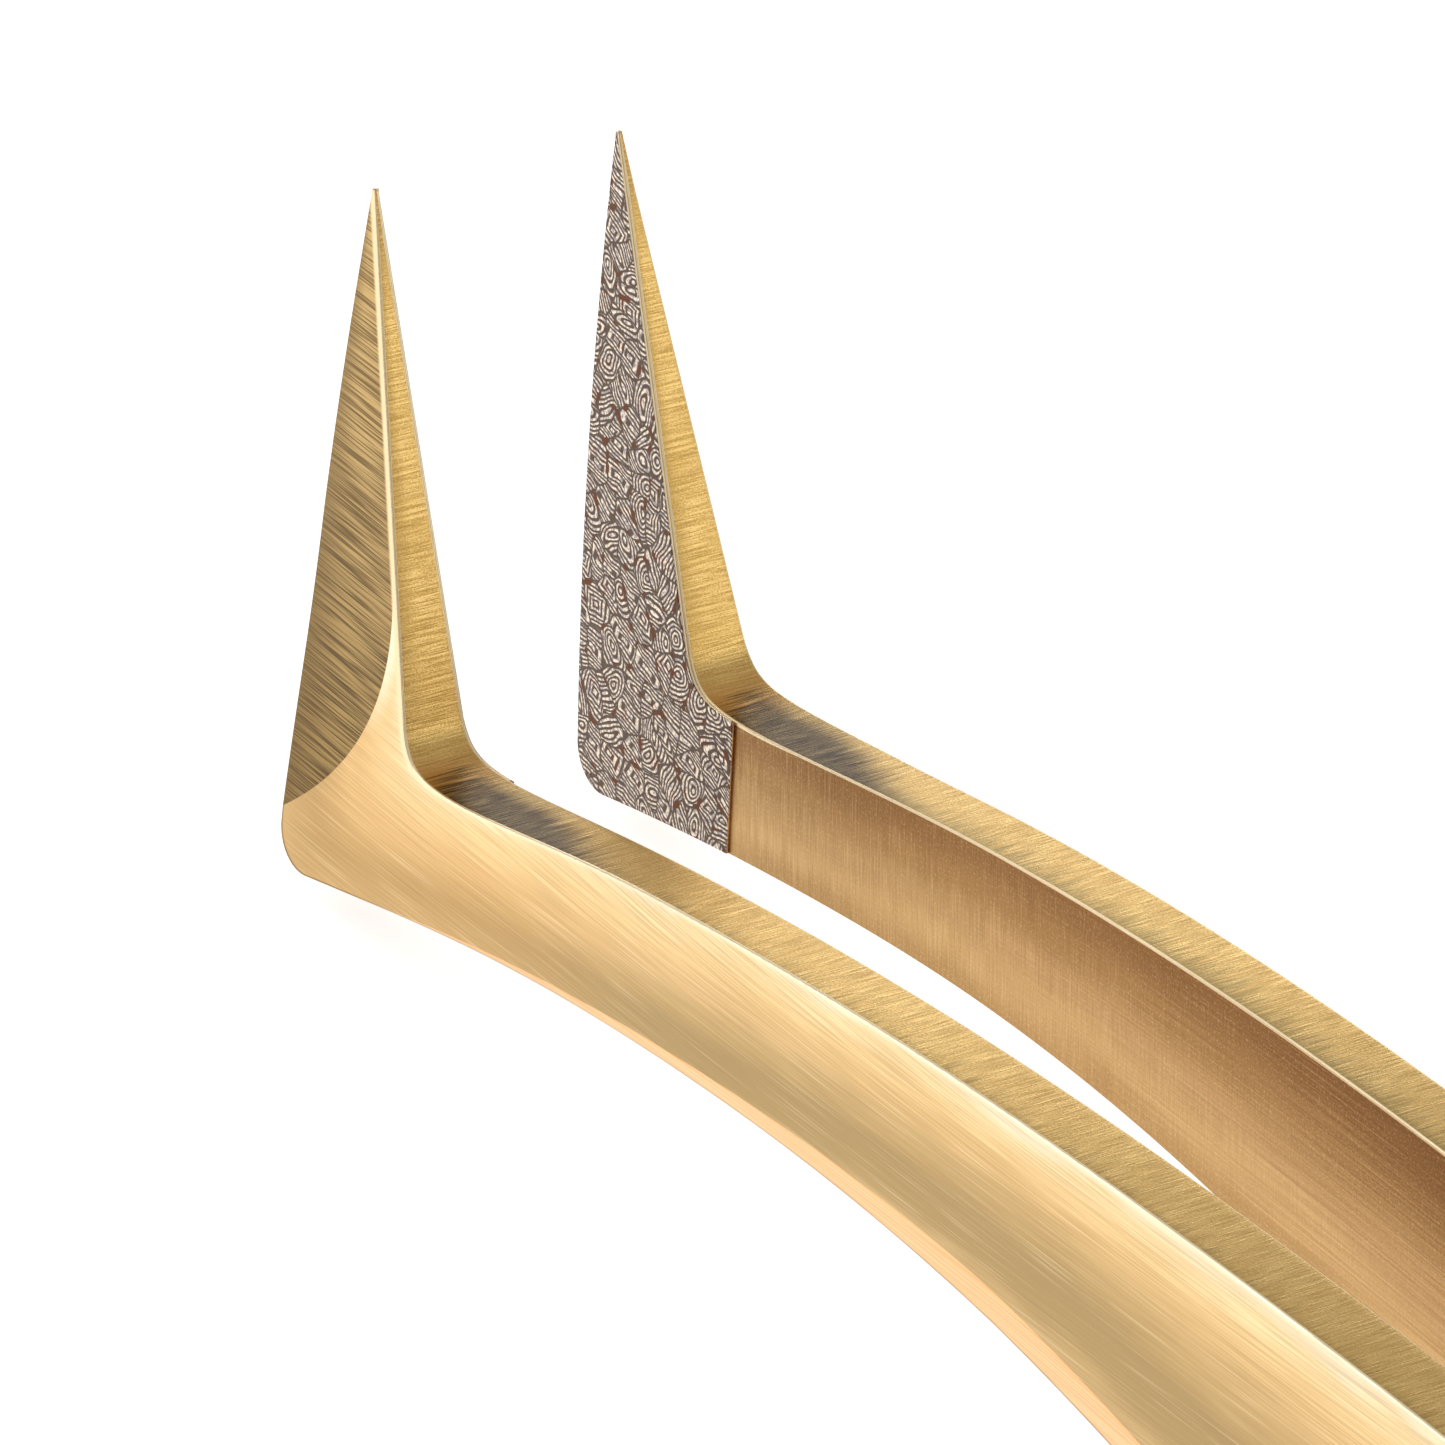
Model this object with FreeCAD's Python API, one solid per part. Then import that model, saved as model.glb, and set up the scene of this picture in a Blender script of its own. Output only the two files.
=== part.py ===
import FreeCAD, Part
import math
import os

os.makedirs("parts", exist_ok=True)
Vector = FreeCAD.Vector

# Angled-tip tweezers lying on their lower edges: X runs from the feet to the welded rear,
# Z is up, and Y = 0 is the plane between two mirrored spring arms.

# Side view (X, Z), with X measured from the heel corner.
HEEL_X = -59.8
HEEL = (0.0, 0.36)
TIP = (-1.19, 15.78)
CREST = (-1.16, 12.3)
CROOK = (3.62, 5.23)
CROOK_PULL = (5.15, 3.38)
SHOULDER_PULL = (14.5, 10.2)
GRIP_TOP = (48.1, 9.23)
ARCH_FRONT_PULL = (26.5, 8.5)
ARCH_REAR_PULL = (35.5, 0.0)
BELLY_FRONT = (47.1, 0.0)
BELLY_REAR = (76.0, 0.0)
BELLY_PULL = (96.0, 0.0)
TAIL_BOTTOM = (120.8, 2.0)
TAIL_TOP = (120.8, 7.17)

HEEL_RADIUS = 0.9
TIP_RADIUS = 0.06
TAIL_RADIUS = 1.6
EDGE_RADIUS = 0.3
FOOT_REAR = 2.0

# Plan view (X, Y): the inner face of one arm, and its thickness along the arm.
FOOT_FLAT_REAR = 6.0
FOOT_HALF_GAP = 2.95
FOOT_SLOPE = 0.0327
INNER_POINTS = [(15.0, 2.66), (25.0, 2.5), (35.0, 2.28), (60.0, 1.42), (78.0, 0.66)]
WELD_FRONT = 94.0
FRONT_REACH = 5.0
FAR_LIMIT = 200.0
REAR_THICKNESS = 1.3
THICKNESSES = [
    (-FRONT_REACH, 1.7),
    (5.0, 1.74),
    (20.0, 1.84),
    (50.0, 1.84),
    (80.0, REAR_THICKNESS),
    (FAR_LIMIT, REAR_THICKNESS),
]

# The foot thins to almost nothing at the tip, along one flat facet on its outer side.
FOLD_THICKNESS = 1.48
TIP_THICKNESS = 0.06
FACET_MARGIN = 6.0
FACET_DEPTH = 4.0

# Grip lining on the inner face of the foot.
LINING_THICKNESS = 0.06
LINING_REAR_TOP = (4.21, 16.0)
LINING_REAR_BOTTOM = (5.99, -1.0)

# The arm bends just in front of the weld; a round seat there lets the blade turn in its rear tab.
FLEX_X = 88.0
SEAT_RADIUS = 1.0
SEAT_CLEARANCE = 0.03

# Two shallow spot-weld marks on the outer face of each rear tab.
WELD_MARKS = [100.0, 107.0]
WELD_MARK_HEIGHT = 4.6
WELD_MARK_RADIUS = 1.1
WELD_MARK_DEPTH = 0.1

CLOSE = 0.01
OUTER_SHARE = 0.9
PLATE_WIDTH = 8.0
PLATE_HEIGHT = 40.0


def side(point):
    return Vector(HEEL_X + point[0], 0, point[1])


def plan(x, y):
    return Vector(HEEL_X + x, y, -PLATE_HEIGHT / 2)


def bezier(poles):
    curve = Part.BezierCurve()
    curve.setPoles(poles)
    return curve.toShape()


def line(start, end):
    return Part.LineSegment(start, end).toShape()


def foot_inner_y(x):
    return FOOT_HALF_GAP - FOOT_SLOPE * x


def between(points, x):
    for (x0, y0), (x1, y1) in zip(points, points[1:]):
        if x <= x1:
            return y0 + (y1 - y0) * (x - x0) / (x1 - x0)


def thickness(x):
    return between(THICKNESSES, x)


def side_profile():
    edges = [
        bezier([side(HEEL), side(ARCH_FRONT_PULL), side(ARCH_REAR_PULL), side(BELLY_FRONT)]),
        line(side(BELLY_FRONT), side(BELLY_REAR)),
        bezier([side(BELLY_REAR), side(BELLY_PULL), side(TAIL_BOTTOM)]),
        line(side(TAIL_BOTTOM), side(TAIL_TOP)),
        line(side(TAIL_TOP), side(GRIP_TOP)),
        bezier([side(GRIP_TOP), side(SHOULDER_PULL), side(CROOK_PULL), side(CROOK)]),
        line(side(CROOK), side(TIP)),
        Part.Arc(side(TIP), side(CREST), side(HEEL)).toShape(),
    ]
    return Part.Face(Part.Wire(edges))


def rounded_corners(solid, corners):
    for corner, radius in corners:
        point = side(corner)
        edges = [
            edge
            for edge in solid.Edges
            if abs(edge.CenterOfMass.x - point.x) < CLOSE
            and abs(edge.CenterOfMass.z - point.z) < CLOSE
        ]
        solid = solid.makeFillet(radius, edges)
    return solid


def curve_along_arm(offset):
    """The arm's line in plan: its inner face at offset 0, its outer face at offset 1."""
    start = Vector(FOOT_FLAT_REAR, foot_inner_y(FOOT_FLAT_REAR) + offset * thickness(FOOT_FLAT_REAR), 0)
    end = Vector(WELD_FRONT, offset * thickness(WELD_FRONT), 0)
    middle = [Vector(x, y + offset * thickness(x), 0) for x, y in INNER_POINTS]
    points = [plan(p.x, p.y) for p in [start] + middle + [end]]
    curve = Part.BSplineCurve()
    curve.interpolate(
        Points=points,
        InitialTangent=Vector(1, -FOOT_SLOPE, 0),
        FinalTangent=Vector(1, 0, 0),
    )
    return curve.toShape(), points


def plan_band():
    inner, inner_points = curve_along_arm(0)
    outer, outer_points = curve_along_arm(1)
    front = -FRONT_REACH
    rear = TAIL_TOP[0] + FRONT_REACH
    inner_front = plan(front, foot_inner_y(front))
    outer_front = plan(front, foot_inner_y(front) + thickness(front))
    inner_rear = plan(rear, 0)
    outer_rear = plan(rear, REAR_THICKNESS)
    edges = [
        line(inner_front, inner_points[0]),
        inner,
        line(inner_points[-1], inner_rear),
        line(inner_rear, outer_rear),
        line(outer_rear, outer_points[-1]),
        outer,
        line(outer_points[0], outer_front),
        line(outer_front, inner_front),
    ]
    return Part.Face(Part.Wire(Part.__sortEdges__(edges))).extrude(Vector(0, 0, PLATE_HEIGHT))


def inner_y(x):
    foot = [(at, foot_inner_y(at)) for at in (-FRONT_REACH, FOOT_FLAT_REAR)]
    return between(foot + INNER_POINTS + [(WELD_FRONT, 0.0), (FAR_LIMIT, 0.0)], x)


def outer_edges(arm):
    """The long edges behind the foot where the outer face meets the arm's narrow sides."""
    found = []
    for edge in arm.Edges:
        middle = edge.valueAt((edge.FirstParameter + edge.LastParameter) / 2)
        x = middle.x - HEEL_X
        outer = middle.y - inner_y(x) > OUTER_SHARE * thickness(x)
        rim = edge.BoundBox.XLength > CLOSE or x > TAIL_TOP[0] - CLOSE
        if outer and rim and x > FOOT_REAR:
            found.append(edge)
    return found


def facet_cutter():
    heel = side(HEEL) + Vector(0, foot_inner_y(HEEL[0]) + FOLD_THICKNESS, 0)
    crook = side(CROOK) + Vector(0, foot_inner_y(CROOK[0]) + FOLD_THICKNESS, 0)
    tip = side(TIP) + Vector(0, foot_inner_y(TIP[0]) + TIP_THICKNESS, 0)
    fold = (crook - heel).normalize()
    foot = heel + fold * (tip - heel).dot(fold)
    rise = tip - foot
    outward = fold.cross(rise).normalize()
    if outward.y < 0:
        outward = outward * -1
    low = heel - fold * FACET_MARGIN
    high = crook + fold * FACET_MARGIN * 2
    corners = [low, high, high + rise * 1.5, low + rise * 1.5]
    face = Part.Face(Part.makePolygon(corners + [low]))
    return face.extrude(outward * FACET_DEPTH)


def tail_rounded_plate():
    plate = side_profile().extrude(Vector(0, PLATE_WIDTH, 0))
    return rounded_corners(plate, [(TAIL_BOTTOM, TAIL_RADIUS), (TAIL_TOP, TAIL_RADIUS)])


def arm_plate():
    return rounded_corners(tail_rounded_plate(), [(HEEL, HEEL_RADIUS), (TIP, TIP_RADIUS)])


def side_face(plate):
    return [face for face in plate.Faces if face.CenterOfMass.y < CLOSE][0]


def far_arm():
    arm = tail_rounded_plate().common(plan_band())
    arm = arm.makeFillet(EDGE_RADIUS, outer_edges(arm))
    arm = arm.common(arm_plate()).cut(facet_cutter())
    for x in WELD_MARKS:
        centre = side((x, WELD_MARK_HEIGHT)) + Vector(0, REAR_THICKNESS - WELD_MARK_DEPTH, 0)
        arm = arm.cut(Part.makeCylinder(WELD_MARK_RADIUS, 1.0, centre, Vector(0, 1, 0)))
    return arm


def split_at_flex(arm):
    """Blade and rear tab, meeting on a round seat about the upright flex line."""
    centre_y = inner_y(FLEX_X) + thickness(FLEX_X) / 2
    base = plan(FLEX_X, centre_y)
    front = Part.makeBox(
        FAR_LIMIT, FAR_LIMIT, PLATE_HEIGHT, base + Vector(-FAR_LIMIT, -FAR_LIMIT / 2, 0)
    )
    knuckle = Part.makeCylinder(SEAT_RADIUS, PLATE_HEIGHT, base)
    socket = Part.makeCylinder(SEAT_RADIUS + SEAT_CLEARANCE, PLATE_HEIGHT, base)
    blade = arm.common(front.fuse(knuckle))
    tab = arm.cut(front.fuse(socket))
    return blade, tab


def far_lining():
    top = side(LINING_REAR_TOP)
    bottom = side(LINING_REAR_BOTTOM)
    reach = Vector(FAR_LIMIT, 0, 0)
    behind = Part.Face(Part.makePolygon([bottom, bottom + reach, top + reach, top, bottom]))
    foot = side_face(arm_plate()).cut(behind).Faces[0]
    lining = foot.extrude(Vector(0, -LINING_THICKNESS, 0))
    lining.rotate(side((0, 0)), Vector(0, 0, 1), -math.degrees(math.atan(FOOT_SLOPE)))
    lining.translate(Vector(0, FOOT_HALF_GAP, 0))
    return lining


def mirrored(solid):
    return solid.mirror(Vector(0, 0, 0), Vector(0, 1, 0))


blade, tab = split_at_flex(far_arm())
pieces = {
    "arm_far_blade": blade,
    "arm_far_tab": tab,
    "grip_lining_far": far_lining(),
}
for name in list(pieces):
    pieces[name.replace("far", "near")] = mirrored(pieces[name])
for name, solid in pieces.items():
    solid.exportStep("parts/" + name + ".step")
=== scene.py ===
import math

import bpy
import numpy as np
from mathutils import Matrix, Vector


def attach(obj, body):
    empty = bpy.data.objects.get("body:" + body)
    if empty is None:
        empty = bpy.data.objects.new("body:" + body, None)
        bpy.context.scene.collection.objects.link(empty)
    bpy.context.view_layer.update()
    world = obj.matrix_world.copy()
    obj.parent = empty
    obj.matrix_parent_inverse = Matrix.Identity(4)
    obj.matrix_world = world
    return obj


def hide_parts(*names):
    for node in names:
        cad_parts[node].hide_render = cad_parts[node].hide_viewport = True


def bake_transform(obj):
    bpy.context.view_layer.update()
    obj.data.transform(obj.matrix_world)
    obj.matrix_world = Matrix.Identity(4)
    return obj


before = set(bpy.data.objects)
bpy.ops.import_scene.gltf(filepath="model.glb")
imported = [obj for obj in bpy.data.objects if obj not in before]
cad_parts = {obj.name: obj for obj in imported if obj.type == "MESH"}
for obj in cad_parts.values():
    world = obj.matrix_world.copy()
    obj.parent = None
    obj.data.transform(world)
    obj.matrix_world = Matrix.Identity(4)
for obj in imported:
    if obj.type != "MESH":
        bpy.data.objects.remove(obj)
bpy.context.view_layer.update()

# Shapes are in mm, with x measured from the heel corner, which lies at HEEL_X in the row's frame.
MM = 0.001
HEEL_X = -59.8

# Side view (x, z) of an arm.
HEEL = (0.0, 0.36)
TIP = (-1.19, 15.78)
CREST = (-1.16, 12.3)
CROOK = (3.62, 5.23)
CROOK_PULL = (5.15, 3.38)
SHOULDER_PULL = (14.5, 10.2)
GRIP_TOP = (48.1, 9.23)
ARCH_FRONT_PULL = (26.5, 8.5)
ARCH_REAR_PULL = (35.5, 0.0)
BELLY_FRONT = (47.1, 0.0)
BELLY_REAR = (76.0, 0.0)
BELLY_PULL = (96.0, 0.0)
TAIL_BOTTOM = (120.8, 2.0)
TAIL_TOP = (120.8, 7.17)
HEEL_RADIUS = 0.9
TIP_CUT = 0.22
CROOK_EASE = 0.45
TAIL_RADIUS = 1.6

# Plan view: half gap between the inner faces, and the thickness of an arm, by x.
FOOT_HALF_GAP = 2.95
FOOT_SLOPE = 0.0327
FOOT_REAR = 6.0
INNER_POINTS = [
    (6.0, 2.754),
    (15.0, 2.66),
    (25.0, 2.5),
    (35.0, 2.28),
    (60.0, 1.42),
    (78.0, 0.66),
    (94.0, 0.0),
]
THICKNESS_POINTS = [
    (-5.0, 1.7),
    (5.0, 1.74),
    (20.0, 1.84),
    (50.0, 1.84),
    (80.0, 1.3),
    (130.0, 1.3),
]
THICKNESS_FRONT_SLOPE = 0.004
LEAST_THICKNESS = 0.035

# The foot tapers towards the tip, and a ground facet lowers its front part a little more.
TAPER_BASE = 1.737
TAPER_X = 0.0708
TAPER_Z = -0.10284
TAPER_BLEND = 0.12
FACET_SLOPE = 0.05
FACET_CREST = (2.45, 6.5)
FACET_BOW = 0.1144
FACET_LINE_FROM = (2.04, 8.4)
FACET_LINE_SLOPE = -0.44

# Shaping of the outer face behind the foot. The crown and the bevel start and are full at these
# distances along the arm from the tip. The weld marks are at these x.
CROWN_WIDTH = 1.7
CROWN_DROP = 0.34
CROWN_START = 13.5
CROWN_FULL = 22.0
BEVEL_WIDTH = 1.15
BEVEL_SLOPE = 0.32
BEVEL_START = 15.0
BEVEL_FULL = 37.0
WELD_MARKS = [100.0, 107.0]
WELD_MARK_HEIGHT = 4.6
WELD_MARK_RADIUS = 1.1
WELD_MARK_FLAT = 0.7
WELD_MARK_DEPTH = 0.1

# Rounding of the long edges, which stays under these shares of a narrow or thin section.
OUTER_ROUND = 0.055
INNER_ROUND = 0.04
ROUND_WIDTH_SHARE = 0.2
OUTER_ROUND_SHARE = 0.3
INNER_ROUND_SHARE = 0.25

# The lining covers the foot as far as a slanted rear line, and stays a little inside its edges.
LINING_THICKNESS = 0.06
LINING_BACK_GAP = 0.001
LINING_REAR_TOP = (4.21, 16.0)
LINING_REAR_BOTTOM = (5.99, -1.0)
LINING_REAR_EDGE = 0.1
LINING_INSET = 0.035
LINING_INSET_SHARE = 0.2
LINING_LEAST_SHARE = 0.002

# Its texture: cells per mm, and the distance from one line to the next.
LINING_CELLS = 1.4
LINING_PITCH = 0.098

# Sampling: the step between stations along each stretch, and the points across a face or a side.
FOOT_STEP = 0.075
NECK_STEP = 0.25
GRIP_STEP = 0.4
TAIL_STEP = 0.15
NECK_TOP_X = 10.0
NECK_BOTTOM_X = 7.0
EASE_SAMPLES = 161
EASE_SHIFTS = 21
JOIN_COUNT = 24
ROUND_STEPS = np.radians([0, 22.5, 45, 67.5, 90])
EDGE_OFFSETS = np.array([0.015, 0.05, 0.1, 0.17, 0.26, 0.38, 0.54, 0.62, 0.67, 0.72, 0.86, 1.1, 1.4])
EDGE_SHARE = 0.35
MIDDLE_COUNT = 18
SIDE_COUNT = 7
LINING_COLUMNS = 61

# ---------------------------------------------------------------- curves


def smoothstep(low, high, x):
    t = np.clip((x - low) / (high - low), 0, 1)
    return t * t * (3 - 2 * t)


def bezier(poles, count=240):
    t = np.linspace(0, 1, count)[:, None]
    n = len(poles) - 1
    return sum(
        math.comb(n, i) * (1 - t) ** (n - i) * t**i * np.array(poles[i]) for i in range(n + 1)
    )


def straight(a, b, count=60):
    t = np.linspace(0, 1, count)[:, None]
    return (1 - t) * np.array(a) + t * np.array(b)


def arc_about(centre, radius, a, b, count):
    """The shorter arc about a centre, from the direction of a to the direction of b."""
    start = math.atan2(*(a - centre)[::-1])
    turn = (math.atan2(*(b - centre)[::-1]) - start + math.pi) % (2 * math.pi) - math.pi
    angle = start + turn * np.linspace(0, 1, count)
    return centre + radius * np.stack([np.cos(angle), np.sin(angle)], 1)


def arc_through(a, b, c, count=240):
    """The arc from a to c through b: its centre is as far from each of them."""
    a, b, c = np.array(a), np.array(b), np.array(c)
    centre = np.linalg.solve(2 * np.array([b - a, c - a]), [b @ b - a @ a, c @ c - a @ a])
    return arc_about(centre, math.hypot(*(a - centre)), a, c, count)


def lengths(path):
    """Distance along the path to each of its points."""
    return np.concatenate([[0], np.cumsum(np.hypot(*np.diff(path, axis=0).T))])


def at_length(path, distance):
    run = lengths(path)
    return np.stack([np.interp(distance, run, path[:, 0]), np.interp(distance, run, path[:, 1])], -1)


def cut_start(path):
    """The path without its first TIP_CUT, which blunts the tip."""
    run = lengths(path)
    return at_length(path, np.concatenate([[TIP_CUT], run[run > TIP_CUT + 0.01]]))


def split_at_x(path, x):
    """The path up to its first point at or past x, and the rest of it from that point."""
    i = int(np.argmax(path[:, 0] >= x))
    return path[: i + 1], path[i:]


def eased_corner(path, place, reach):
    """The path averaged over a window that is widest at its corner and closes 3 reaches from it."""
    extra = place + np.linspace(-4 * reach, 4 * reach, EASE_SAMPLES)
    run = np.unique(np.concatenate([lengths(path), extra]))
    half_window = reach * (1 - smoothstep(0, 3 * reach, np.abs(run - place)))
    shifts = np.linspace(-1, 1, EASE_SHIFTS)
    return np.mean([at_length(path, run + half_window * shift) for shift in shifts], axis=0)


def unit(vector):
    return vector / np.linalg.norm(vector)


def rounded_join(first, second, radius):
    """Two paths meeting at a corner, each cut back, and the arc that joins them."""
    corner = first[-1]
    first_run = lengths(first)
    second_run = lengths(second)
    u = unit(at_length(first, first_run[-1] - radius) - corner)
    v = unit(at_length(second, radius) - corner)
    half_angle = math.acos(np.dot(u, v)) / 2
    cut = radius / math.tan(half_angle)
    centre = corner + unit(u + v) * radius / math.sin(half_angle)
    a = at_length(first, first_run[-1] - cut)
    b = at_length(second, cut)
    head = np.vstack([first[first_run < first_run[-1] - cut], a])
    tail = np.vstack([b, second[second_run > cut]])
    return head, arc_about(centre, radius, a, b, JOIN_COUNT), tail


def smooth_curve(points, start_slope, end_slope):
    """A cubic curve through points, as a function of x."""
    x, y = np.array(points, float).T
    slope = np.gradient(y, x)
    slope[0] = start_slope
    slope[-1] = end_slope

    def value(at):
        at = np.asarray(at, float)
        i = np.clip(np.searchsorted(x, at) - 1, 0, len(x) - 2)
        span = x[i + 1] - x[i]
        t = np.clip((at - x[i]) / span, 0, 1)
        leaving = (1 + 2 * t) * (1 - t) ** 2 * y[i] + t * (1 - t) ** 2 * span * slope[i]
        arriving = t**2 * (3 - 2 * t) * y[i + 1] + t**2 * (t - 1) * span * slope[i + 1]
        return leaving + arriving

    return value


# ---------------------------------------------------------------- an arm's faces

arm_inner = smooth_curve(INNER_POINTS, -FOOT_SLOPE, 0.0)
arm_thickness = smooth_curve(THICKNESS_POINTS, THICKNESS_FRONT_SLOPE, 0.0)


def foot_y(x):
    """The inner face of the foot, which is flat."""
    return FOOT_HALF_GAP - FOOT_SLOPE * x


def inner_y(x):
    return np.where(x < FOOT_REAR, foot_y(x), arm_inner(x))


def facet_edge_x(z):
    """The facet's rear boundary: a ridge down from the tip that bows forward to the heel."""
    bow = FACET_CREST[0] - FACET_BOW * (z - FACET_CREST[1]) ** 2
    ridge = FACET_LINE_FROM[0] + FACET_LINE_SLOPE * (z - FACET_LINE_FROM[1])
    return np.where(z < FACET_LINE_FROM[1], bow, ridge)


def facet_inside(x, z):
    """Distance inside the facet, negative outside it."""
    slope = np.where(z < FACET_LINE_FROM[1], 2 * FACET_BOW * (FACET_CREST[1] - z), FACET_LINE_SLOPE)
    return (facet_edge_x(z) - x) / np.sqrt(1 + slope**2)


def outer_depth(x, z):
    """The arm's thickness at (x, z) before its edges are shaped."""
    taper = TAPER_BASE + TAPER_X * x + TAPER_Z * z
    plain = arm_thickness(x)
    # the smaller of the two, with a smooth change from one to the other
    share = np.clip(0.5 + (plain - taper) / TAPER_BLEND / 2, 0, 1)
    body = plain * (1 - share) + taper * share - TAPER_BLEND * share * (1 - share)
    ground = np.maximum(facet_inside(x, z), 0) * FACET_SLOPE
    marks = 0
    for mark_x in WELD_MARKS:
        away = np.hypot(x - mark_x, z - WELD_MARK_HEIGHT)
        marks = marks + WELD_MARK_DEPTH * (1 - smoothstep(WELD_MARK_FLAT, WELD_MARK_RADIUS, away))
    return np.maximum(body - ground - marks, LEAST_THICKNESS)


def lining_rear_x(z):
    """The lining's rear boundary, a straight line that leans back towards the heel."""
    (top_x, top_z), (bottom_x, bottom_z) = LINING_REAR_TOP, LINING_REAR_BOTTOM
    return top_x + (bottom_x - top_x) * (z - top_z) / (bottom_z - top_z)


# ---------------------------------------------------------------- one arm as a lofted mesh


def arm_paths():
    """Matched stretches of the back-and-top path and of the front-and-bottom path, with their steps."""
    back = cut_start(straight(TIP, CROOK, 200))
    fold = lengths(back)[-1]
    top = bezier([CROOK, CROOK_PULL, SHOULDER_PULL, GRIP_TOP], 900)
    eased = eased_corner(np.vstack([back, top[1:]]), fold, CROOK_EASE)
    split = int(np.argmax(lengths(eased) >= fold))
    back, top = eased[: split + 1], eased[split:]
    top_near, top_far = split_at_x(top, NECK_TOP_X)
    front = cut_start(arc_through(TIP, CREST, HEEL))
    arch = bezier([HEEL, ARCH_FRONT_PULL, ARCH_REAR_PULL, BELLY_FRONT], 500)
    front, heel, bottom = rounded_join(front, arch, HEEL_RADIUS)
    bottom_near, bottom_far = split_at_x(bottom, NECK_BOTTOM_X)
    tail_line = straight(TAIL_TOP, TAIL_BOTTOM, 40)
    grip = straight(GRIP_TOP, TAIL_TOP, 200)
    grip, tail_upper, _ = rounded_join(grip, tail_line, TAIL_RADIUS)
    belly = straight(BELLY_FRONT, BELLY_REAR)
    belly = np.vstack([belly, bezier([BELLY_REAR, BELLY_PULL, TAIL_BOTTOM])[1:]])
    belly, tail_lower, _ = rounded_join(belly, tail_line[::-1], TAIL_RADIUS)
    return [
        (back, front, FOOT_STEP),
        (top_near, np.vstack([heel, bottom_near[1:]]), FOOT_STEP),
        (top_far, bottom_far, NECK_STEP),
        (grip, belly, GRIP_STEP),
        (tail_upper, tail_lower, TAIL_STEP),
    ]


def stations():
    """Paired points on the two paths, and each pair's distance along the arm."""
    uppers, lowers, along = [], [], []
    run = 0.0
    for upper, lower, step in arm_paths():
        upper_length = lengths(upper)[-1]
        lower_length = lengths(lower)[-1]
        count = max(4, int(round(max(upper_length, lower_length) / step)))
        t = np.linspace(0, 1, count + 1)
        if uppers:
            t = t[1:]
        uppers.append(at_length(upper, t * upper_length))
        lowers.append(at_length(lower, t * lower_length))
        along.append(run + t * (upper_length + lower_length) / 2)
        run += (upper_length + lower_length) / 2
    return np.vstack(uppers), np.vstack(lowers), np.concatenate(along)


def face_samples(width, rounding):
    """Distances from one edge of a face to the other, with its rounded edges sampled finely."""
    scale = np.minimum(1, EDGE_SHARE * width / EDGE_OFFSETS[-1])[:, None]
    near = rounding[:, None] + EDGE_OFFSETS * scale
    curve = rounding[:, None] * (1 - np.cos(ROUND_STEPS))
    full = width[:, None]
    begin = near[:, -1:]
    end = full - begin
    middle = begin + (end - begin) * np.linspace(0, 1, MIDDLE_COUNT + 2)[1:-1]
    return np.hstack([curve, near, middle, (full - near)[:, ::-1], (full - curve)[:, ::-1]])


def rounded_drop(down, width, rounding):
    """How far a face falls away within its rounded edges."""
    edge = np.minimum(down, width[:, None] - down)
    radius = rounding[:, None]
    inside = np.clip(radius - edge, 0, radius)
    return radius - np.sqrt(np.maximum(radius**2 - inside**2, 0))


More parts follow.
